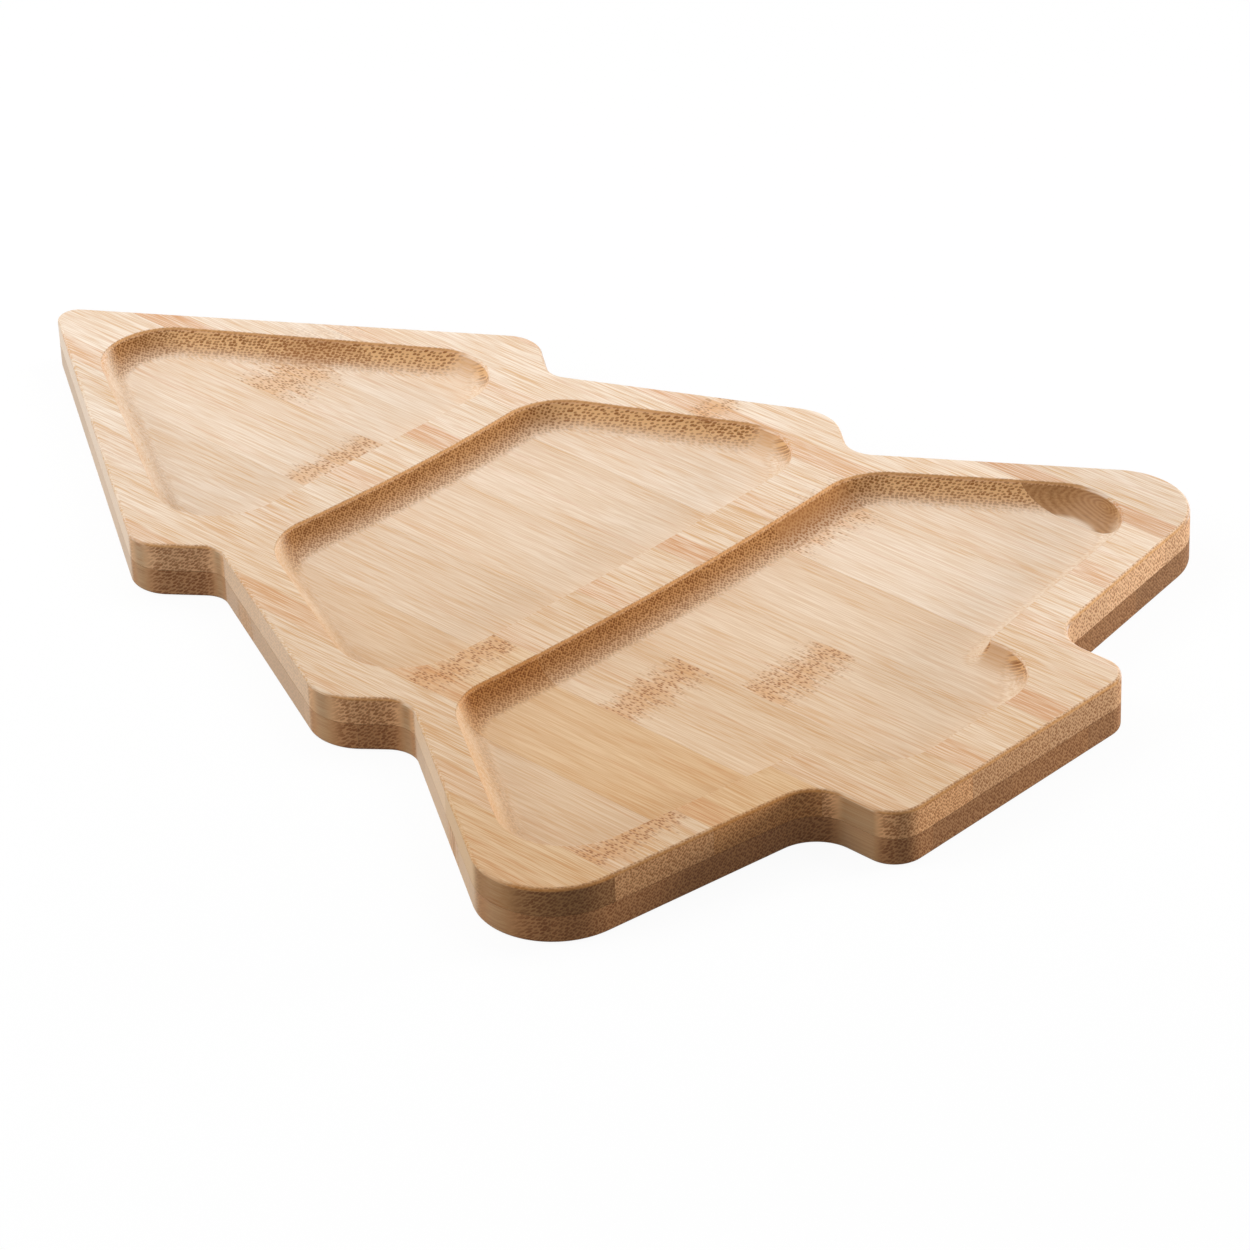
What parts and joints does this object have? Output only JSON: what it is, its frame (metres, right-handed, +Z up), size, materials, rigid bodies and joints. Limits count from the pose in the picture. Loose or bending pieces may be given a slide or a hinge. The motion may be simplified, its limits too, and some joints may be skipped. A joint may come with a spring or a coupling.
{
  "type": "snack plate",
  "caption": "Fir-tree-shaped bamboo snack plate laminated from glued strips, with shallow rounded trays routed into its tiers and a flat underside.",
  "frame": {"origin": "centre of the plate's bounding box, on the underside it rests on", "axes": "+Y from the foot of the trunk to the tip of the tree, +Z up through the trays, +X to the right seen from above"},
  "size_m": [0.1942, 0.2742, 0.012],
  "materials": {
    "pale_bamboo": "sanded and lightly oiled, pale upper strips",
    "honey_bamboo": "sanded and lightly oiled, darker lower strips"
  },
  "bodies": {
    "root": {"upper_left_strip_5": "pale_bamboo", "upper_left_strip_4": "pale_bamboo", "upper_left_strip_3": "pale_bamboo", "upper_left_strip_2": "pale_bamboo", "upper_left_strip_1": "pale_bamboo", "upper_right_strip_1": "pale_bamboo", "upper_right_strip_2": "pale_bamboo", "upper_right_strip_3": "pale_bamboo", "upper_right_bough_end_3": "pale_bamboo", "upper_right_strip_4": "pale_bamboo", "lower_left_strip_5": "honey_bamboo", "lower_left_strip_4": "honey_bamboo", "lower_left_bough_end_4": "honey_bamboo", "lower_left_strip_3": "honey_bamboo", "lower_left_strip_2": "honey_bamboo", "lower_left_strip_1": "honey_bamboo", "lower_right_strip_1": "honey_bamboo", "lower_right_strip_2": "honey_bamboo", "lower_right_strip_3": "honey_bamboo", "lower_right_strip_4": "honey_bamboo", "lower_right_bough_end_4": "honey_bamboo", "lower_right_strip_5": "honey_bamboo"}
  },
  "joints": []
}
